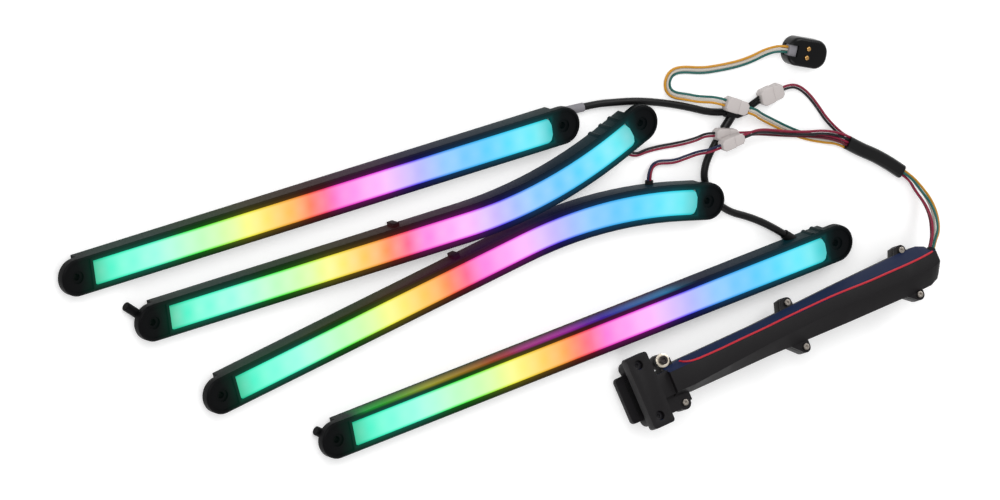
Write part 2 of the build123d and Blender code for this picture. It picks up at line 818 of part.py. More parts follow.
for index, place_at in enumerate(contact_places, start=1):
    with BuildPart() as contact:
        with BuildSketch(pod.offset(pod_ceiling - contact_flange)):
            with Locations(place_at):
                Circle(contact_flange_r)
        extrude(amount=contact_flange)
        with BuildSketch(pod.offset(pod_ceiling)):
            with Locations(place_at):
                Circle(contact_r)
        extrude(amount=pod_wall + contact_proud)
        fillet(contact.edges().group_by(Axis.Z)[-1], contact_round)
    save(contact, f"pod_contact_{index}")

block_end = pod_length / 2 - pod_block_in
with BuildPart() as pod_grommet:
    with BuildSketch(pod.offset(block_low)):
        with Locations((-block_end + pod_block[0] / 2, 0)):
            Rectangle(pod_block[0], pod_block[1])
    extrude(amount=pod_block[2])
save(pod_grommet, "pod_grommet")

# Connectors
def connector_part(fit, start, end, shrink):
    """A connector half in plan: square where the halves meet, its outer corners cut off."""
    a = radians(fit["heading"])
    x, y, z = fit["at"]
    half, high = (fit["width"] - shrink) / 2, connector_height - shrink
    outer = start if abs(start) > abs(end) else end
    inner = end if outer == start else start
    cut = outer - connector_corner if outer > 0 else outer + connector_corner
    plan = Plane(origin=(x, y, z - high / 2), x_dir=(cos(a), sin(a), 0), z_dir=(0, 0, 1))
    with BuildSketch(plan, mode=Mode.PRIVATE) as outline:
        Polygon((inner, -half), (cut, -half), (outer, connector_corner - half), (outer, half - connector_corner),
                (cut, half), (inner, half), align=None)
    extrude(outline.sketch, amount=high)


parting = connector_length * (connector_share - 0.5)
with BuildPart() as sockets:
    for fit in connectors.values():
        connector_part(fit, -connector_length / 2, parting, 0)
save(sockets, "connector_sockets")

with BuildPart() as plugs:
    for fit in connectors.values():
        connector_part(fit, parting, connector_length / 2, connector_step)
save(plugs, "connector_plugs")


def connector_end(name, side):
    """The middle of a connector's left (-1) or right (1) end face."""
    fit = connectors[name]
    a = radians(fit["heading"])
    x, y, z = fit["at"]
    return x + side * connector_length / 2 * cos(a), y + side * connector_length / 2 * sin(a), z


def connector_exit(name, side, run):
    """A connector's end and a point straight out of it."""
    x, y, z = connector_end(name, side)
    a = radians(connectors[name]["heading"])
    return [(x, y, z), (x + side * run * cos(a), y + side * run * sin(a), z)]


def outlet_exit(name, run):
    """A bar's grommet end and a point straight out of it."""
    end, a = outlet_end(name)
    return [tuple(end), tuple(end + Vector(cos(a), sin(a), 0) * run)]


def spread(count, step):
    """Even offsets either side of nought."""
    return [(index - (count - 1) / 2) * step for index in range(count)]


# Splice, with its branch and the short wires that run from it into the cables' connector
splice_way = Vector(cos(radians(splice_heading)), sin(radians(splice_heading)), 0)
branch_way = Vector(cos(radians(branch_heading)), sin(radians(branch_heading)), 0)
splice_left_way = (-splice_way.Y, splice_way.X, 0)
splice_plane = Plane(origin=(*splice_at, splice_end[1] / 2), x_dir=splice_left_way, z_dir=splice_way)
cables_way = radians(connectors["cables"]["heading"])
cables_left = Vector(-sin(cables_way), cos(cables_way), 0)
with BuildPart() as splice:
    for offset, (width, height) in ((-splice_overall / 2, splice_end), (splice_belly, splice_middle),
                                    (splice_overall / 2, splice_tip)):
        with BuildSketch(splice_plane.offset(offset)):
            RectangleRounded(width, height, height * splice_corner_share)
    loft(ruled=True)
    with BuildSketch(Plane(origin=(*branch_end, splice_end[1] / 2), z_dir=branch_way)):
        Circle(branch_r)
    extrude(amount=branch_length)
    for across in spread(splice_wire_count, wire_step):
        begin = splice_plane.from_local_coords((across, 0, splice_overall / 2 - splice_wire_sunk))
        finish = Vector(*connector_end("cables", -1)) + cables_left * across
        with BuildSketch(Plane(origin=begin, z_dir=finish - begin)):
            Circle(wire_r)
        extrude(amount=(finish - begin).length - splice_wire_gap)
save(splice, "cable_splice")

# Sleeve
with BuildPart() as sleeve:
    with BuildLine() as route:
        FilletPolyline(*sleeve_route, radius=corner_radii(sleeve_route))
    sleeve_way = atan2(sleeve_route[1][1] - sleeve_route[0][1], sleeve_route[1][0] - sleeve_route[0][0])
    ahead = (cos(sleeve_way), sin(sleeve_way), 0)
    with BuildSketch(Plane(origin=sleeve_route[0], x_dir=(-ahead[1], ahead[0], 0), z_dir=ahead)):
        RectangleRounded(sleeve_width, sleeve_height, sleeve_corner)
    sweep(path=route.line)
save(sleeve, "harness_sleeve")


def strand(points, across, up, looseness=1.0):
    """A route moved sideways and upwards, its runs parallel to the first route's, further between its ends."""
    moved = []
    for index, point in enumerate(points):
        middle = Vector(*point)
        first = index < 2
        last = index > len(points) - 3
        if first:
            ahead = (Vector(*points[1]) - Vector(*points[0])).normalized()
        elif last:
            ahead = (Vector(*points[-1]) - Vector(*points[-2])).normalized()
        else:
            before = (middle - Vector(*points[index - 1])).normalized()
            after = (Vector(*points[index + 1]) - middle).normalized()
            ahead = (before + after) / 2
        mitre = looseness / ahead.length
        if first or last:
            mitre = 1.0
        ahead = ahead.normalized()
        left = Vector(-ahead.Y, ahead.X, 0).normalized()
        moved.append(tuple(middle + (left * across + ahead.cross(left) * up) * mitre))
    return moved


def wires(name, radius, routes):
    """Wires or cables of one node, each its own tube."""
    with BuildPart() as bundle:
        for points in routes:
            length = tube(points, radius)
            radii = [round(r, 1) for r in corner_radii(points)]
            print(name, "length", round(length, 1), "radii", radii)
    total = bundle.part.volume / (pi * radius**2)
    print(name, "solids", len(bundle.part.solids()), "volume over section", round(total, 1))
    save(bundle, name)


splice_left = splice_plane.from_local_coords((0, 0, -splice_overall / 2))
branch_left = Vector(*branch_end, splice_end[1] / 2)
bar_1_cable = [*outlet_exit("bar_1", 8), (81.0, 66.0, 1.9), (94.2, 62.4, 1.9), (107.7, 57.0, 1.9),
               (121.0, 50.5, 1.9), tuple(splice_left - splice_way * 7), tuple(splice_left)]
bar_4_cable = [*outlet_exit("bar_4", 9), (145.06, -14.64, 2.0), (134.0, -8.2, 1.9), (126.8, 0.6, 1.9),
               (123.4, 11.2, 1.9), (126.2, 19.6, 1.9), tuple(branch_left - branch_way * 6.5), tuple(branch_left)]
wires("cable_bar_1", cable_r, [bar_1_cable])
wires("cable_bar_4", cable_r, [bar_4_cable])

bar_2_leads = [*outlet_exit("bar_2", 5), (95.5, 36.3, 1.2), (104.0, 35.2, 0.9), (111.5, 33.8, 1.0),
               (117.4, 33.4, 2.6), (122.1, 34.0, 5.4), *reversed(connector_exit("bar_2", -1, 5))]
wires("bar_2_leads", wire_r, [strand(bar_2_leads, y, 0) for y in spread(2, wire_step)])
bar_3_leads = [*outlet_exit("bar_3", 4.4), (99.3, 29.2, 1.4), (109.1, 25.9, 1.6), (115.6, 26.6, 3.6),
               (120.5, 28.0, 7.6), *reversed(connector_exit("bar_3", -1, 6))]
wires("bar_3_leads", wire_r, [strand(bar_3_leads, y, 0) for y in spread(2, wire_step)])

pod_end, pod_before = [tuple(pod.from_local_coords((-block_end - run, 0, block_low + pod_block[2] / 2)))
                       for run in (0, 5)]
pod_leads = [*connector_exit("pod", -1, 6), (128.2, 52.0, 4.0), (122.8, 54.7, 1.7), (116.4, 57.6, 0.8),
             (113.7, 61.5, 0.8), (114.6, 66.0, 0.8), (118.2, 68.9, 0.8), (124.0, 68.3, 0.8), (134.6, 64.0, 0.8),
             (144.2, 62.1, 0.8), (155.1, 60.5, 0.8), (163.5, 60.6, 1.5), (169.8, 62.0, 3.0), pod_before, pod_end]
wires("pod_leads", wire_r, [strand(pod_leads, y, 0) for y in spread(3, wire_step)])

def sleeve_entry(across, up):
    """Two points that lead straight into the sleeve's first end."""
    x, y, z = sleeve_route[0]
    ends = []
    for back in (sleeve_lead_in, 0.0):
        ends.append((x - back * ahead[0] - across * ahead[1], y - back * ahead[1] + across * ahead[0], z + up))
    return ends


row = wire_step / 2 + 0.02
pod_trunk = [*connector_exit("pod", 1, 6), (159.3, 33.2, 4.6), (167.5, 26.5, 1.8), (175.8, 19.5, 0.9),
             (184.8, 13.1, 0.9), (194.5, 8.2, 1.2), *sleeve_entry(-wire_step, -row)]
bar_2_trunk = [*connector_exit("bar_2", 1, 6), (155.9, 25.6, 5.0), (165.6, 21.4, 2.6), (175.5, 17.5, 2.4),
               (185.3, 14.0, 2.5), (194.6, 10.2, 2.6), *sleeve_entry(-wire_step / 2, row)]
bar_3_trunk = [*connector_exit("bar_3", 1, 6), (155.8, 27.5, 9.2), (166.2, 22.8, 5.6), (175.3, 18.7, 4.0),
               (184.5, 15.6, 4.3), (193.7, 13.3, 4.8), *sleeve_entry(1.5 * wire_step, row)]
cables_trunk = [*connector_exit("cables", 1, 5), (185.8, 38.4, 1.8), (190.6, 32.8, 0.9), (194.4, 25.6, 0.9),
                (197.8, 17.6, 0.9), *sleeve_entry(1.5 * wire_step, -row)]
wires("pod_trunk", wire_r, [strand(pod_trunk, y, 0) for y in spread(3, wire_step)])
wires("bars_trunk", wire_r, [strand(r, y, 0) for r in (bar_2_trunk, bar_3_trunk) for y in spread(2, wire_step)])
wires("cables_trunk", wire_r, [strand(cables_trunk, y, 0) for y in spread(2, wire_step)])

sleeve_out = Vector(*sleeve_route[-1])
run = (sleeve_out - Vector(*sleeve_route[-2])).normalized()
tail = [tuple(sleeve_out), tuple(sleeve_out + run * 6.5), (240.3, -32.2, 3.2), (243.3, -39.6, 5.2),
        (243.1, -46.4, 8.7), (240.2, -52.3, 12.5), tuple(grommet_out + grommet_way * 4.2), tuple(grommet_out)]
ring = [(ring_r * cos(radians(90 + 72 * i)), ring_r * sin(radians(90 + 72 * i))) for i in range(5)]
wires("tail_wires", wire_r, [strand(tail, across, up, tail_looseness) for across, up in ring])

print("nodes", len(names))
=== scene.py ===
import json
from colorsys import hsv_to_rgb
from math import cos, pi, radians, sin

import bmesh
import bpy
import numpy as np
from mathutils import Matrix, Vector


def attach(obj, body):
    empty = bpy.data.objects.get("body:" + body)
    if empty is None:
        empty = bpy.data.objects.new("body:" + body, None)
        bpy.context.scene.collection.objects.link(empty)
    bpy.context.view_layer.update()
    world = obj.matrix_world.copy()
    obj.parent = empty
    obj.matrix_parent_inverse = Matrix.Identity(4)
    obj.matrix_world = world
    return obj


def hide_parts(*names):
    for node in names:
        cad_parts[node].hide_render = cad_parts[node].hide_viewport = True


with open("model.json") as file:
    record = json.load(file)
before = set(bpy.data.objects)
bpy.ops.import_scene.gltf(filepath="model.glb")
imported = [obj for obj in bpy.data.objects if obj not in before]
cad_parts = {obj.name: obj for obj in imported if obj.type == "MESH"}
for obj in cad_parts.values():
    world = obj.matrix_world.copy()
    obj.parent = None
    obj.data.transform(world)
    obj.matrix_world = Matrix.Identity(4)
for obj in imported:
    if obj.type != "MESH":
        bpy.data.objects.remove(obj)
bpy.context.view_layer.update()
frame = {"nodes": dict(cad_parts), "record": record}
nodes = frame["nodes"]
scene = bpy.context.scene
scene.view_settings.view_transform = "Standard"
mm = 0.001


# Camera: a long lens, with the picture turned so that the bars rise to the right
cameraSettings = {
    "right": (0.8191, -0.1778, 0.5455),
    "back": (-0.4762, 0.3198, 0.8192),
    "aim": (0.00646, 0.01556, 0.0),
    "distance": 9.5383,
    "lens": 720.0,
    "sensor": 36.0,
    "clip": (0.5, 60.0),
}
right = Vector(cameraSettings["right"]).normalized()
back = Vector(cameraSettings["back"])
back = (back - right * back.dot(right)).normalized()
up = back.cross(right)
cameraData = bpy.data.cameras.new("camera")
cameraData.lens = cameraSettings["lens"]
cameraData.sensor_width = cameraSettings["sensor"]
cameraData.clip_start, cameraData.clip_end = cameraSettings["clip"]
camera = bpy.data.objects.new("camera", cameraData)
scene.collection.objects.link(camera)
turn = Matrix((right, up, back)).transposed()
place = Vector(cameraSettings["aim"]) + back * cameraSettings["distance"]
camera.matrix_world = Matrix.Translation(place) @ turn.to_4x4()
scene.camera = camera
print("camera set")


# A hex sRGB colour as linear values, by the sRGB curve
def tone(text):
    values = [int(text[i:i + 2], 16) / 255 for i in (1, 3, 5)]
    linear = [v / 12.92 if v <= 0.04045 else ((v + 0.055) / 1.055) ** 2.4 for v in values]
    return (*linear, 1.0)


# One shader node, with its settings and with its inputs set or linked
def add(tree, kind, inputs=None, **settings):
    node = tree.nodes.new("ShaderNode" + kind)
    for name, value in settings.items():
        setattr(node, name, value)
    for key, value in (inputs or {}).items():
        if isinstance(value, bpy.types.NodeSocket):
            tree.links.new(value, node.inputs[key])
        else:
            node.inputs[key].default_value = value
    return node


# A colour ramp over a factor, from pairs of place and colour
def ramp(tree, factor, stops):
    node = add(tree, "ValToRGB", {"Fac": factor})
    band = node.color_ramp
    band.elements[0].position, band.elements[0].color = stops[0]
    band.elements[1].position, band.elements[1].color = stops[-1]
    for position, colour in stops[1:-1]:
        element = band.elements.new(position)
        element.color = colour
    return node.outputs["Color"]


# Two colours mixed by a factor
def blend(tree, factor, first, second, blendType="MIX"):
    return add(tree, "Mix", {"Factor": factor, "A": first, "B": second}, data_type="RGBA",
               blend_type=blendType).outputs[2]


# A colour given off by a shader at full strength
def shine(tree, shader, colour):
    tree.links.new(colour, shader.inputs["Emission Color"])
    shader.inputs["Emission Strength"].default_value = 1.0


# A material with a Principled shader, its tree and that shader
def blank(name):
    material = bpy.data.materials.new(name)
    material.use_nodes = True
    return material, material.node_tree, material.node_tree.nodes["Principled BSDF"]


grainSettings = {
    "detail": 3.0, "depth": 0.1, "cloudScale": 90.0, "cloudDetail": 4.0, "cloudLow": 0.3, "cloudHigh": 0.7,
}


# A plain material with a fine grain: grain is (size in mm, bump strength), mottle a slow change of roughness
def grained(name, colour, roughness, grain=None, metallic=0.0, specular=0.5, mottle=0.0):
    material, tree, shader = blank(name)
    shader.inputs["Base Color"].default_value = tone(colour)
    shader.inputs["Roughness"].default_value = roughness
    shader.inputs["Metallic"].default_value = metallic
    shader.inputs["Specular IOR Level"].default_value = specular
    spot = add(tree, "TexCoord").outputs["Object"]
    if grain:
        size, strength = grain
        noise = add(tree, "TexNoise", {"Vector": spot, "Scale": 1 / (size * mm),
                                       "Detail": grainSettings["detail"]})
        bump = add(tree, "Bump", {"Height": noise.outputs["Fac"], "Strength": strength,
                                  "Distance": grainSettings["depth"] * mm})
        tree.links.new(bump.outputs["Normal"], shader.inputs["Normal"])
    if mottle:
        cloud = add(tree, "TexNoise", {"Vector": spot, "Scale": grainSettings["cloudScale"],
                                       "Detail": grainSettings["cloudDetail"]})
        span = add(tree, "MapRange", {"Value": cloud.outputs["Fac"], "From Min": grainSettings["cloudLow"],
                                      "From Max": grainSettings["cloudHigh"], "To Min": roughness - mottle,
                                      "To Max": roughness + mottle})
        tree.links.new(span.outputs["Result"], shader.inputs["Roughness"])
    return material


# Nylons scatter the light over a fine grain, with slow patches of roughness; gloss plastic keeps a highlight
blackNylon = grained("moulded black nylon", "#080709", 0.46, (0.5, 0.25), mottle=0.06, specular=0.07)
housingNylon = grained("fine grained housing nylon", "#110f11", 0.52, (0.45, 0.3), mottle=0.05, specular=0.2)
clampNylon = grained("coarse clamp nylon", "#0e0c0f", 0.58, (0.7, 0.4), mottle=0.06, specular=0.2)
podPlastic = grained("pod gloss plastic", "#070708", 0.3, mottle=0.04, specular=0.2)
whiteNylon = grained("white connector nylon", "#b9b2b0", 0.42, (0.5, 0.1), specular=0.4)
greyBlock = grained("grey moulded block", "#77757a", 0.55, (0.5, 0.2))
# Rubber is the dullest black; the cable jacket has a soft sheen, and shrink tube a coarse ripple
blackRubber = grained("black rubber", "#0a0a0b", 0.6, (0.4, 0.2), specular=0.2)
jacketVinyl = grained("black cable jacket", "#0b0b0c", 0.42, (0.6, 0.15), mottle=0.05, specular=0.2)
shrinkTube = grained("black shrink tube", "#0c0c0d", 0.36, (1.6, 0.35), mottle=0.08, specular=0.25)
sealSilicone = grained("pale silicone bead", "#b9bcbb", 0.5)
# Blackened steel barely shines; the plain screw is darker than the bright zinc washer around it
boltSteel = grained("blackened bolt steel", "#17151a", 0.45, (0.3, 0.15), specular=0.3)
noseSteel = grained("dark nose screw steel", "#3c3837", 0.4, (0.3, 0.15), metallic=1.0)
screwSteel = grained("plain screw steel", "#9b948c", 0.32, (0.3, 0.15), metallic=1.0)
brightZinc = grained("bright zinc washer", "#f0e6d4", 0.3, (0.3, 0.12), metallic=1.0)
contactBrass = grained("plated brass contact", "#d3a463", 0.25, metallic=1.0)
# Inside pieces, seen only when the covers are off
whiteMask = grained("white solder mask", "#e6e8e4", 0.35)
greenMask = grained("green solder mask", "#1d5b34", 0.35)
chipEpoxy = grained("black chip epoxy", "#1a1a1a", 0.5)
ledPackage = grained("white LED package", "#f2f0e4", 0.4)
batteryFilm = grained("blue battery film", "#2b5688", 0.3)
# Wire insulation has a soft sheen that shows each wire's roundness
wireTones = {
    "red": "#7c1230", "maroon": "#561022", "black": "#0c0b12", "navy": "#161d3c", "teal": "#17564f",
    "ochre": "#bb8420", "pale": "#b9b3a9", "lead": "#b3202e",
}
wireMaterials = {key: grained(f"{key} wire insulation", text, 0.4, (0.8, 0.1), specular=0.3)
                 for key, text in wireTones.items()}

# Light along a bar, as its programme runs from the left end: places, and hues in degrees on a wheel of 24
# parts, for turquoise, yellow, orange, pink, violet, azure and cyan. The middle of the cover is palest
# halfway between its strong colours
lightSettings = {
    "hues": [(0.0, 165), (0.15, 165), (0.33, 60), (0.45, 30),
             (0.53, -45), (0.63, -60), (0.75, -150), (1.0, -180)],
    "period": 0.44, "endReach": 0.04, "endDeepen": 0.35, "endDim": 0.25, "fade": 0.04, "stops": 31,
}
middleLook = {"saturation": 0.45, "swing": 0.2, "value": 1.0, "shift": 0.0, "until": 1.1}
rimLook = {"saturation": 0.88, "swing": 0.0, "value": 0.92, "shift": 0.0, "until": 1.1}
# Painted light on a channel's far wall from the neighbouring bar, its hues taken a little further along the
# bar
wallLook = {"saturation": 0.85, "swing": 0.0, "value": 0.6, "shift": 0.17, "until": 0.72}


# Stops of a ramp along a bar: saturation = mean + swing * cos(2 pi place / period), deeper and dimmer at
# the ends
def lightStops(look):
    places, hues = zip(*lightSettings["hues"])
    stops = []
    for place in np.linspace(0.0, 1.0, lightSettings["stops"]):
        hue = np.interp(place + look["shift"], places, hues)
        nearEnd = max(1.0 - min(place, 1.0 - place) / lightSettings["endReach"], 0.0)
        saturation = look["saturation"] + look["swing"] * cos(2 * pi * place / lightSettings["period"])
        saturation = min(saturation + lightSettings["endDeepen"] * nearEnd, 1.0)
        left = min(max((look["until"] - place) / lightSettings["fade"], 0.0), 1.0)
        value = look["value"] * (1.0 - lightSettings["endDim"] * nearEnd) * left
        parts = hsv_to_rgb(hue / 360 % 1.0, saturation, value)
        stops.append((place, tone("#%02x%02x%02x" % tuple(round(255 * part) for part in parts))))
    return stops


lensLook = {
    "rimFrom": 0.74, "rimFull": 1.02, "lightStep": 12.5, "base": 0.02, "roughness": 0.5, "specular": 0.05,
}


# A milky cover lit from behind: middle and edge ramps along the bar, and a soft spot over each light.
# The thick diffuser hides the lights, so the colours run into each other with no hard edge
def lensMaterial(name, brighter):
    material, tree, shader = blank(name)
    along, across, distance = (add(tree, "Attribute", attribute_name=key).outputs["Fac"]
                               for key in ("along", "across", "distance"))
    middle = ramp(tree, along, lightStops(middleLook))
    edge = ramp(tree, along, lightStops(rimLook))
    rim = add(tree, "MapRange", {"Value": across, "From Min": lensLook["rimFrom"],
                                 "From Max": lensLook["rimFull"]},
              interpolation_type="SMOOTHSTEP").outputs["Result"]
    perMm = 2 * pi / lensLook["lightStep"]
    wave = add(tree, "Math", {0: distance, 1: perMm}, operation="MULTIPLY").outputs[0]
    crest = add(tree, "Math", {0: wave}, operation="COSINE").outputs[0]
    fade = add(tree, "Math", {0: 1.0, 1: across}, operation="SUBTRACT", use_clamp=True).outputs[0]
    spot = add(tree, "Math", {0: crest, 1: fade}, operation="MULTIPLY").outputs[0]
    lift = add(tree, "MapRange", {"Value": spot, "From Min": -1.0, "To Max": brighter}).outputs["Result"]
    pale = blend(tree, lift, middle, (1, 1, 1, 1))
    shine(tree, shader, blend(tree, rim, pale, edge))
    shader.inputs["Base Color"].default_value = (*[lensLook["base"]] * 3, 1.0)
    shader.inputs["Roughness"].default_value = lensLook["roughness"]
    shader.inputs["Specular IOR Level"].default_value = lensLook["specular"]
    return material


dark = (0, 0, 0, 1)


# Black nylon with painted light: light spilt from the lit cover beside it, and painted light from the
# neighbouring bar along its far wall, by the bar's far-wall strength
def channelMaterial(name, wallGlow):
    material = grained(name, "#080709", 0.5, (0.5, 0.25), specular=0.07)
    tree = material.node_tree
    along, painted_spill, wall = (add(tree, "Attribute", attribute_name=key).outputs["Fac"]
                         for key in ("along", "painted_spill", "wall"))
    paintedRimSpill = blend(tree, painted_spill, dark, ramp(tree, along, lightStops(rimLook)))
    wallPart = blend(tree, wall, dark, ramp(tree, along, lightStops(wallLook)))
    shine(tree, tree.nodes["Principled BSDF"], blend(tree, wallGlow, paintedRimSpill, wallPart, "ADD"))
    return material


# The housing's far flank has painted blue light from the lit bar beside it, stronger as a face turns to that
# bar
paintedBlueLightSettings = {"towards": (-0.05, 0.97, 0.24), "from": 0.8, "full": 0.96, "colour": "#0b1c3c"}
paintedBlueLightNylon = housingNylon.copy()
paintedBlueLightNylon.name = "housing nylon beside a lit bar"
tree = paintedBlueLightNylon.node_tree
facing = add(tree, "NewGeometry").outputs["Normal"]
turned = add(tree, "VectorMath", {0: facing, 1: paintedBlueLightSettings["towards"]}, operation="DOT_PRODUCT")
paintedBlueLight = add(tree, "MapRange", {"Value": turned.outputs["Value"], "From Min": paintedBlueLightSettings["from"],
                              "From Max": paintedBlueLightSettings["full"]}).outputs["Result"]
shine(tree, tree.nodes["Principled BSDF"], blend(tree, paintedBlueLight, dark, tone(paintedBlueLightSettings["colour"])))

# The lit covers made further down stand in for the lenses
slotMaterials = {
    "black_shell": housingNylon, "milk_lens": blackNylon, "seal": sealSilicone, "strip_board": whiteMask,
    "lights": ledPackage, "board": greenMask, "chip": chipEpoxy, "battery": batteryFilm,
    "rubber": blackRubber, "red_lead": wireMaterials["lead"], "screw_steel": screwSteel,
    "bright_steel": brightZinc, "contact": contactBrass, "white_nylon": whiteNylon,
    "black_jacket": jacketVinyl, "wire": wireMaterials["red"], "shrink": shrinkTube, "grey_block": greyBlock,
}
slotOf = {row["node"]: row["material_slot"] for row in frame["record"]["subparts"]}
bodyOf = {name: body for body, names in frame["record"]["behaviour"]["bodies"].items() for name in names}
for name, obj in nodes.items():
    obj.data.materials.clear()
    obj.data.materials.append(slotMaterials[slotOf[name]])
print("materials made")


# A route moved sideways and upwards with its runs parallel: at a bend the move is over cos(half the turn)
def strand(points, across, lift, looseness=1.0):
    points = [Vector(p) for p in points]
    moved = []
    for index, point in enumerate(points):
        if index < 2:
            ahead = (points[1] - points[0]).normalized()
        elif index > len(points) - 3:
            ahead = (points[-1] - points[-2]).normalized()
        else:
            arriving, leaving = point - points[index - 1], points[index + 1] - point
            ahead = (arriving.normalized() + leaving.normalized()) / 2
        atEnd = index < 2 or index > len(points) - 3
        mitre = 1.0 if atEnd else looseness / ahead.length
        ahead.normalize()
        left = Vector((-ahead.y, ahead.x, 0)).normalized()
        moved.append(point + (left * across + ahead.cross(left) * lift) * mitre)
    return moved


bundleSettings = {"step": 1.36, "ringRadius": 1.2, "ringWires": 5, "firstAngle": 90}


# Even offsets of side by side wires, either side of nought
def spread(count):
    return [((index - (count - 1) / 2) * bundleSettings["step"], 0.0) for index in range(count)]


# Offsets of the tail's wires, evenly round a ring
ringAngles = [radians(bundleSettings["firstAngle"] + 360 * index / bundleSettings["ringWires"])
              for index in range(bundleSettings["ringWires"])]
ring = [(bundleSettings["ringRadius"] * cos(a), bundleSettings["ringRadius"] * sin(a)) for a in ringAngles]

# Wires and cables in mm: radius, each wire's offset across and upwards, its colour and length, middle route
cordSettings = {
    "cable_bar_1": {
        "node": "cable_bar_1", "radius": 1.8, "offsets": [(0, 0)], "colours": ["jacket"], "lengths": [83.1],
        "end": "fitting", "with": ["cable_splice"],
        "route": [(64.65, 69.30, 2.40), (72.58, 68.25, 2.40), (81.00, 66.00, 1.90), (94.20, 62.40, 1.90),
                  (107.70, 57.00, 1.90), (121.00, 50.50, 1.90), (135.20, 42.27, 2.20),
                  (141.99, 40.57, 2.20)],
    },
    "cable_bar_4": {
        "node": "cable_bar_4", "radius": 1.8, "offsets": [(0, 0)], "colours": ["jacket"], "lengths": [84.9],
        "end": "fitting", "with": ["cable_splice"],
        "route": [(162.06, -29.34, 2.50), (155.70, -22.98, 2.50), (145.06, -14.64, 2.00),
                  (134.00, -8.20, 1.90), (126.80, 0.60, 1.90), (123.40, 11.20, 1.90),
                  (126.20, 19.60, 1.90), (134.74, 28.62, 2.20), (139.80, 32.70, 2.20)],
    },
    "bar_2_lead": {
        "node": "bar_2_leads", "radius": 0.6, "offsets": spread(2), "colours": ["red", "black"],
        "lengths": [49.8, 49.3], "end": "connector", "with": ["connector_sockets", "connector_plugs"],
        "route": [(84.34, 39.44, 2.20), (88.17, 36.22, 2.20), (95.50, 36.30, 1.20), (104.00, 35.20, 0.90),
                  (111.50, 33.80, 1.00), (117.40, 33.40, 2.60), (122.10, 34.00, 5.40),
                  (126.46, 35.05, 7.00), (131.22, 33.51, 7.00)],
    },
    "bar_3_lead": {
        "node": "bar_3_leads", "radius": 0.6, "offsets": spread(2), "colours": ["red", "navy"],
        "lengths": [43.8, 45.4], "end": "connector", "with": ["connector_sockets", "connector_plugs"],
        "route": [(93.53, 21.80, 2.20), (94.52, 26.09, 2.20), (99.30, 29.20, 1.40), (109.10, 25.90, 1.60),
                  (115.60, 26.60, 3.60), (120.50, 28.00, 7.60), (124.31, 28.36, 12.20),
                  (130.30, 28.57, 12.20)],
    },
    "pod_lead": {
        "node": "pod_leads", "radius": 0.6, "offsets": spread(3), "colours": ["ochre", "pale", "teal"],
        "lengths": [110.3, 106.2, 102.1], "end": "connector",
        "with": ["connector_sockets", "connector_plugs"],
        "route": [(181.83, 59.46, 3.90), (177.36, 61.71, 3.90), (169.80, 62.00, 3.00),
                  (163.50, 60.60, 1.50), (155.10, 60.50, 0.80), (144.20, 62.10, 0.80),
                  (134.60, 64.00, 0.80), (124.00, 68.30, 0.80), (118.20, 68.90, 0.80),
                  (114.60, 66.00, 0.80), (113.70, 61.50, 0.80), (116.40, 57.60, 0.80),
                  (122.80, 54.70, 1.70), (128.20, 52.00, 4.00), (135.38, 49.97, 7.00),
                  (140.41, 46.70, 7.00)],
    },
    "pod_trunk": {
        "node": "pod_trunk", "radius": 0.6, "offsets": spread(3), "colours": ["ochre", "pale", "teal"],
        "lengths": [66.8, 67.0, 67.1], "end": "fitting", "with": ["harness_sleeve"],
        "route": [(151.31, 39.62, 7.00), (156.34, 36.35, 7.00), (159.30, 33.20, 4.60),
                  (167.50, 26.50, 1.80), (175.80, 19.50, 0.90), (184.80, 13.10, 0.90),
                  (194.50, 8.20, 1.20), (201.87, 5.16, 1.90), (205.22, 2.17, 1.90)],
    },
    "bar_2_trunk": {
        "node": "bars_trunk", "radius": 0.6, "offsets": spread(2), "colours": ["maroon", "red"],
        "lengths": [68.2, 68.8], "end": "fitting", "with": ["harness_sleeve"],
        "route": [(143.58, 29.49, 7.00), (149.29, 27.64, 7.00), (155.90, 25.60, 5.00),
                  (165.60, 21.40, 2.60), (175.50, 17.50, 2.40), (185.30, 14.00, 2.50),
                  (194.60, 10.20, 2.60), (202.32, 5.67, 3.30), (205.68, 2.67, 3.30)],
    },
    "bar_3_trunk": {
        "node": "bars_trunk", "radius": 0.6, "offsets": spread(2), "colours": ["black", "red"],
        "lengths": [70.3, 71.3], "end": "fitting", "with": ["harness_sleeve"],
        "route": [(143.30, 29.03, 12.20), (149.29, 29.24, 12.20), (155.80, 27.50, 9.20),
                  (166.20, 22.80, 5.60), (175.30, 18.70, 4.00), (184.50, 15.60, 4.30),
                  (193.70, 13.30, 4.80), (204.13, 7.70, 3.30), (207.49, 4.70, 3.30)],
    },
    "cables_trunk": {
        "node": "cables_trunk", "radius": 0.6, "offsets": spread(2), "colours": ["black", "red"],
        "lengths": [51.0, 52.0], "end": "fitting", "with": ["harness_sleeve"],
        "route": [(175.35, 41.00, 2.60), (180.34, 41.26, 2.60), (185.80, 38.40, 1.80),
                  (190.60, 32.80, 0.90), (194.40, 25.60, 0.90), (197.80, 17.60, 0.90),
                  (204.13, 7.70, 1.90), (207.49, 4.70, 1.90)],
    },
    "tail_wire": {
        "node": "tail_wires", "radius": 0.6, "looseness": 1.7, "offsets": ring,
        "colours": ["teal", "red", "maroon", "pale", "ochre"],
        "lengths": [45.6, 43.7, 45.2, 48.2, 48.4], "end": "object", "with": ["harness_sleeve"],
        "route": [(233.12, -21.13, 2.60), (237.60, -25.84, 2.60), (240.30, -32.20, 3.20),
                  (243.30, -39.60, 5.20), (243.10, -46.40, 8.70), (240.20, -52.30, 12.50),
                  (236.62, -55.49, 14.88), (234.08, -58.64, 15.98)],
    },
}


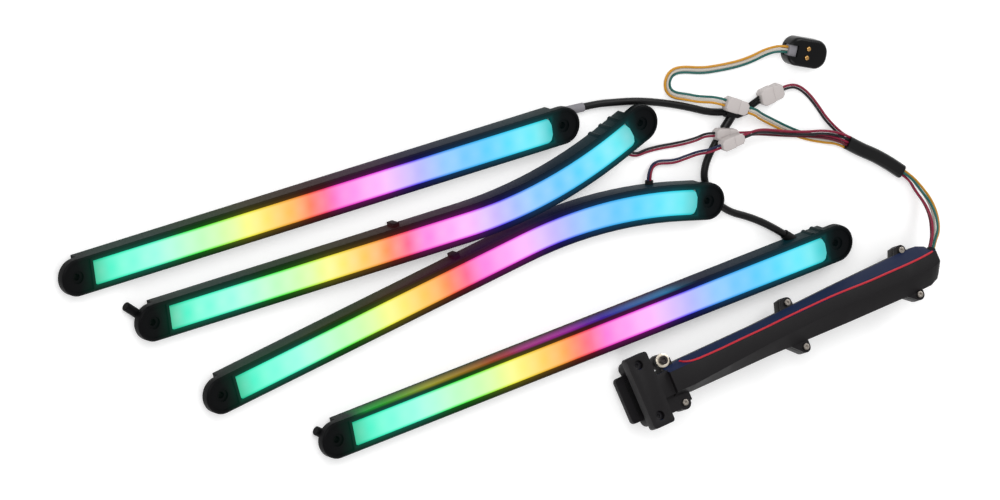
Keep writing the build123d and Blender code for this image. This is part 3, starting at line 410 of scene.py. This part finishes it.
# A round tube along one smooth curve through control points in mm
def tubeCurve(name, points, radius, material):
    curve = bpy.data.curves.new(name, "CURVE")
    curve.dimensions = "3D"
    curve.bevel_depth = radius * mm
    curve.bevel_resolution = 4
    curve.use_fill_caps = True
    line = curve.splines.new("NURBS")
    line.points.add(len(points) - 1)
    for spot, point in zip(line.points, points):
        spot.co = (*(Vector(point) * mm), 1.0)
    line.order_u = 3
    line.use_endpoint_u = True
    line.resolution_u = 8
    curve.materials.append(material)
    obj = bpy.data.objects.new(name, curve)
    scene.collection.objects.link(obj)
    return obj


for name, facts in cordSettings.items():
    wires = zip(facts["offsets"], facts["colours"], facts["lengths"])
    for index, (offset, colour, length) in enumerate(wires):
        points = strand(facts["route"], *offset, facts.get("looseness", 1.0))
        material = jacketVinyl if colour == "jacket" else wireMaterials[colour]
        wire = tubeCurve(f"{name}_{index + 1}", points, facts["radius"], material)
        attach(wire, bodyOf[facts["node"]])
        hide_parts(facts["node"])
print("wires laid")


# Light bars: rounded channels and lit covers, with their place along and across the bar kept as attributes
# The last figure of each bar is the strength of the painted light from the neighbouring bar on its far wall
barSettings = {
    "bar_1": {"at": (-226.64, 83.36), "heading": -3.55, "length": 294.0, "bend": 0, "spots": 0.1, "wall": 0},
    "bar_2": {"at": (-191.14, 48.26), "heading": -3.6, "length": 303.0, "bend": 1, "spots": 0.14, "wall": 0},
    "bar_3": {"at": (-162.54, 1.36), "heading": 4.9, "length": 303.0, "bend": -1, "spots": 0.08,
              "wall": 0.04},
    "bar_4": {"at": (-105.44, -41.34), "heading": 0.0, "length": 310.0, "bend": 0, "spots": 0.08,
              "wall": 0.9},
}
barForm = {
    "bendStart": 178.5, "bendRadius": 245.0, "bendAngle": 21.5, "width": 18.0, "height": 9.5,
    "tabLeft": 9.0, "tabRight": 7.0, "lensWidth": 12.0, "lensSunk": 0.3, "lensThick": 2.2, "lensCrown": 0.25,
    "lensCornerLeft": 1.2, "lensCornerRight": 3.6, "edgeRound": 0.35, "cutStep": 9.0, "cutProbe": 0.5,
    "rows": 281, "columns": 15, "bunching": 1.5,
}
# Painted light spilt on the channel from its cover: (strength, reach in mm) close to the cover and further
# out, and the painted light on the far wall from the neighbouring bar: (start, span in mm) across and upwards
paintedSpillSettings = {"near": (0.1, 1.6), "far": (0.014, 6.0), "wallAcross": (8.1, 0.6), "wallUp": (1.0, 6.0)}


# World points in mm at distances along and offsets across a bar: x = s before the bend, then R sin(t)
# with t the turn so far, and straight on after it
def barPoint(bar, distance, across):
    form = barForm
    s = np.asarray(distance, float)
    if bar["bend"] == 0:
        x, y, turned = s, np.zeros_like(s), np.zeros_like(s)
    else:
        full = radians(form["bendAngle"])
        turned = np.clip((s - form["bendStart"]) / form["bendRadius"], 0.0, full)
        after = np.maximum(s - form["bendStart"] - form["bendRadius"] * full, 0.0)
        x = np.minimum(s, form["bendStart"]) + form["bendRadius"] * np.sin(turned) + after * np.cos(turned)
        y = bar["bend"] * (form["bendRadius"] * (1 - np.cos(turned)) + after * np.sin(turned))
        turned = turned * bar["bend"]
    x, y = x - across * np.sin(turned), y + across * np.cos(turned)
    a = radians(bar["heading"])
    return bar["at"][0] + x * cos(a) - y * sin(a), bar["at"][1] + x * sin(a) + y * cos(a)


# Distances along and offsets across a bar for world points in mm: the inverse of barPoint
def barPlace(bar, x, y):
    form = barForm
    a = radians(bar["heading"])
    u = (x - bar["at"][0]) * cos(a) + (y - bar["at"][1]) * sin(a)
    v = -(x - bar["at"][0]) * sin(a) + (y - bar["at"][1]) * cos(a)
    if bar["bend"] == 0:
        return u, v
    full = radians(form["bendAngle"])
    sign = bar["bend"]
    r = form["bendRadius"]
    w = v * sign
    angle = np.arctan2(u - form["bendStart"], r - w)
    s = np.where(u < form["bendStart"], u, form["bendStart"] + r * np.clip(angle, 0, full))
    off = np.where(u < form["bendStart"], w, r - np.hypot(u - form["bendStart"], r - w))
    past = angle > full
    du, dw = u - (form["bendStart"] + r * sin(full)), w - r * (1 - cos(full))
    s = np.where(past, form["bendStart"] + r * full + du * cos(full) + dw * sin(full), s)
    off = np.where(past, -du * sin(full) + dw * cos(full), off)
    return s, off * sign


# A value per vertex, kept for the shader
def setAttribute(mesh, name, values):
    layer = mesh.attributes.new(name, "FLOAT", "POINT")
    layer.data.foreach_set("value", np.asarray(values, dtype=np.float32))


softSettings = {
    "weld": 0.004, "flatAngle": 0.8, "sharpAngle": 28.0, "segments": 2, "profile": 0.6, "shadeAngle": 40.0,
}


# A copy of a CAD node's mesh with its edges rounded, riding and standing in for it
def softened(node, name, width):
    source = nodes[node]
    work = bmesh.new()
    work.from_mesh(source.data)
    work.transform(source.matrix_world)
    bmesh.ops.remove_doubles(work, verts=work.verts, dist=softSettings["weld"] * mm)
    bmesh.ops.dissolve_limit(work, angle_limit=radians(softSettings["flatAngle"]), verts=work.verts,
                             edges=work.edges)
    limit = radians(softSettings["sharpAngle"])
    sharp = [e for e in work.edges if len(e.link_faces) == 2 and e.calc_face_angle(0.0) > limit]
    bmesh.ops.bevel(work, geom=sharp, offset=width * mm, segments=softSettings["segments"],
                    profile=softSettings["profile"], affect="EDGES", clamp_overlap=True)
    bmesh.ops.triangulate(work, faces=[f for f in work.faces if len(f.verts) > 4])
    mesh = bpy.data.meshes.new(name)
    work.to_mesh(mesh)
    work.free()
    obj = bpy.data.objects.new(name, mesh)
    scene.collection.objects.link(obj)
    mesh.shade_smooth()
    mesh.set_sharp_from_angle(angle=radians(softSettings["shadeAngle"]))
    mesh.materials.append(source.data.materials[0])
    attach(obj, bodyOf[node])
    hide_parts(node)
    return obj


# Cuts a bar's mesh square to its line every few mm, so that values along it vary smoothly
def cutAlong(obj, bar, step):
    work = bmesh.new()
    work.from_mesh(obj.data)
    total = bar["length"] - barForm["width"]
    for distance in np.arange(step, total, step):
        x, y = barPoint(bar, distance, 0.0)
        ax, ay = barPoint(bar, distance + barForm["cutProbe"], 0.0)
        normal = Vector((float(ax - x), float(ay - y), 0)).normalized()
        geometry = work.verts[:] + work.edges[:] + work.faces[:]
        spot = (float(x) * mm, float(y) * mm, 0)
        bmesh.ops.bisect_plane(work, geom=geometry, plane_co=spot, plane_no=normal, dist=1e-6)
    work.to_mesh(obj.data)
    work.free()


for name, bar in barSettings.items():
    total = bar["length"] - barForm["width"]
    start, end = barForm["tabLeft"], total - barForm["tabRight"]
    channel = softened(f"{name}_channel", f"{name}_body", barForm["edgeRound"])
    cutAlong(channel, bar, barForm["cutStep"])
    mesh = channel.data
    spots = np.empty(len(mesh.vertices) * 3)
    mesh.vertices.foreach_get("co", spots)
    spots = spots.reshape(-1, 3) / mm
    s, off = barPlace(bar, spots[:, 0], spots[:, 1])
    beyond = np.maximum(np.maximum(start - s, s - end), 0.0)
    beside = np.maximum(np.abs(off) - barForm["lensWidth"] / 2, 0.0)
    gap = np.hypot(beyond, beside)
    setAttribute(mesh, "along", np.clip((s - start) / (end - start), 0, 1))
    # Painted light spilt from the cover, fading with the gap to it, and painted light from the neighbouring
    # bar high on the far wall
    (near, nearReach), (far, farReach) = paintedSpillSettings["near"], paintedSpillSettings["far"]
    setAttribute(mesh, "painted_spill", near * np.exp(-gap / nearReach) + far * np.exp(-gap / farReach))
    (acrossFrom, acrossSpan), (upFrom, upSpan) = paintedSpillSettings["wallAcross"], paintedSpillSettings["wallUp"]
    wall = np.clip((off - acrossFrom) / acrossSpan, 0, 1) * np.clip((spots[:, 2] - upFrom) / upSpan, 0, 1)
    setAttribute(mesh, "wall", wall * (beyond == 0))
    mesh.materials.clear()
    mesh.materials.append(channelMaterial(f"{name} painted_glow channel nylon", bar["wall"]))

    # Cover: a grid along and across, height = top - crown * (offset / half width)^2, folded down at its edges
    rows, columns = barForm["rows"], barForm["columns"]
    half = barForm["lensWidth"] / 2
    top = barForm["height"] - barForm["lensSunk"]
    sGrid = np.linspace(start, end, rows)
    edge = np.linspace(-1, 1, columns)
    edge = np.sign(edge) * (1 - (1 - np.abs(edge)) ** barForm["bunching"])
    inset = np.zeros(rows)
    ends = ((barForm["lensCornerLeft"], start, 1), (barForm["lensCornerRight"], end, -1))
    for corner, coverEnd, way in ends:
        depth = np.clip(corner - way * (sGrid - coverEnd), 0, corner)
        inset = np.maximum(inset, corner - np.sqrt(corner**2 - depth**2))
    widths = half - inset
    across = widths[:, None] * edge[None, :]
    x, y = barPoint(bar, sGrid[:, None], across)
    z = top - barForm["lensCrown"] * (across / half) ** 2
    verts = np.stack([x, y, z], axis=-1).reshape(-1, 3)
    skirt = verts.copy()
    skirt[:, 2] = top - barForm["lensThick"]
    count = rows * columns
    verts = np.concatenate([verts, skirt]) * mm
    index = np.arange(count).reshape(rows, columns)
    quads = np.stack([index[:-1, :-1], index[1:, :-1], index[1:, 1:], index[:-1, 1:]], axis=-1).reshape(-1, 4)
    parts = [quads, quads[:, ::-1] + count]
    rims = ((index[:, 0], False), (index[:, -1], True), (index[0, :], True), (index[-1, :], False))
    for rim, flip in rims:
        band = np.stack([rim[:-1], rim[:-1] + count, rim[1:] + count, rim[1:]], axis=-1)
        parts.append(band[:, ::-1] if flip else band)
    faces = np.concatenate(parts)
    lensMesh = bpy.data.meshes.new(f"{name}_cover")
    lensMesh.from_pydata(verts.tolist(), [], faces.tolist())
    lensMesh.update()
    lensMesh.shade_smooth()
    lensMesh.set_sharp_from_angle(angle=radians(softSettings["shadeAngle"]))
    sAll = np.tile(np.repeat(sGrid, columns), 2)
    setAttribute(lensMesh, "along", (sAll - start) / (end - start))
    setAttribute(lensMesh, "across", np.tile(np.abs(across).reshape(-1) / half, 2))
    setAttribute(lensMesh, "distance", sAll)
    lensMesh.materials.append(lensMaterial(f"{name} lit milky polycarbonate", bar["spots"]))
    cover = bpy.data.objects.new(f"{name}_cover", lensMesh)
    scene.collection.objects.link(cover)
    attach(cover, bodyOf[f"{name}_lens"])
    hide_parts(f"{name}_lens")
print("bars made")


# Control housing, clamp, pod and connectors: CAD forms with their edges rounded by these widths in mm
softWidths = {
    "control_top_shell": 0.8, "control_bottom_shell": 0.6, "clamp_jaw": 0.7, "nose_washer": 0.15,
    "nose_screw": 0.2, "control_screws": 0.15, "clamp_bolts": 0.2, "end_grommet": 0.3, "pod_case": 0.4,
    "pod_contact_1": 0.1, "pod_contact_2": 0.1, "pod_grommet": 0.4, "connector_sockets": 0.5,
    "connector_plugs": 0.45,
}
finishesAndPaintedLight = {
    "clamp_jaw": clampNylon, "clamp_bolts": boltSteel, "pod_case": podPlastic, "nose_screw": noseSteel,
    # The top shell takes the housing nylon with painted blue light on its far flank
    "control_top_shell": paintedBlueLightNylon,
}
for node, width in softWidths.items():
    piece = softened(node, f"{node}_form", width)
    if node in finishesAndPaintedLight:
        piece.data.materials[0] = finishesAndPaintedLight[node]
print("housing made")


# Floor: matt paper, lifted towards white where the camera or a gloss sees it
floorSettings = {"size": 6.0, "colour": "#e9e9e9", "roughness": 0.9, "specular": 0.1, "lift": 0.32}
floorMesh = bpy.data.meshes.new("floor")
side = floorSettings["size"] / 2
corners = [(-side, -side, 0), (side, -side, 0), (side, side, 0), (-side, side, 0)]
floorMesh.from_pydata(corners, [], [(0, 1, 2, 3)])
floor = bpy.data.objects.new("floor", floorMesh)
scene.collection.objects.link(floor)
floorMaterial, tree, shader = blank("pale paper floor")
shader.inputs["Base Color"].default_value = tone(floorSettings["colour"])
shader.inputs["Roughness"].default_value = floorSettings["roughness"]
shader.inputs["Specular IOR Level"].default_value = floorSettings["specular"]
seen = add(tree, "LightPath")
anyRay = add(tree, "Math", {0: seen.outputs["Is Camera Ray"], 1: seen.outputs["Is Glossy Ray"]},
             operation="MAXIMUM")
strength = add(tree, "Math", {0: anyRay.outputs[0], 1: floorSettings["lift"]}, operation="MULTIPLY")
shader.inputs["Emission Color"].default_value = (1, 1, 1, 1)
tree.links.new(strength.outputs[0], shader.inputs["Emission Strength"])
floorMesh.materials.append(floorMaterial)

# World: a white studio, dimmer for the light that it gives than for the camera
worldSettings = {"given": 0.55, "seen": 1.0}
world = bpy.data.worlds.new("studio")
scene.world = world
world.use_nodes = True
tree = world.node_tree
backdrop = tree.nodes["Background"]
seen = add(tree, "LightPath")
level = add(tree, "MapRange", {"Value": seen.outputs["Is Camera Ray"], "To Min": worldSettings["given"],
                               "To Max": worldSettings["seen"]})
backdrop.inputs["Color"].default_value = (1, 1, 1, 1)
tree.links.new(level.outputs["Result"], backdrop.inputs["Strength"])

# Lamps: soft panels from the left, the right and the front, with power in watts
lampSettings = {
    "key": {"at": (-0.9, 1.3, 1.7), "size": 1.2, "power": 26.0},
    "side": {"at": (1.2, 0.9, 0.9), "size": 0.8, "power": 9.0},
    "front": {"at": (-0.4, -1.4, 1.1), "size": 1.0, "power": 8.0},
}
for name, facts in lampSettings.items():
    lamp = bpy.data.lights.new(name, "AREA")
    lamp.size = facts["size"]
    lamp.energy = facts["power"]
    obj = bpy.data.objects.new(name, lamp)
    obj.location = facts["at"]
    obj.rotation_euler = (-Vector(facts["at"])).to_track_quat("-Z", "Y").to_euler()
    scene.collection.objects.link(obj)
print("stage set")
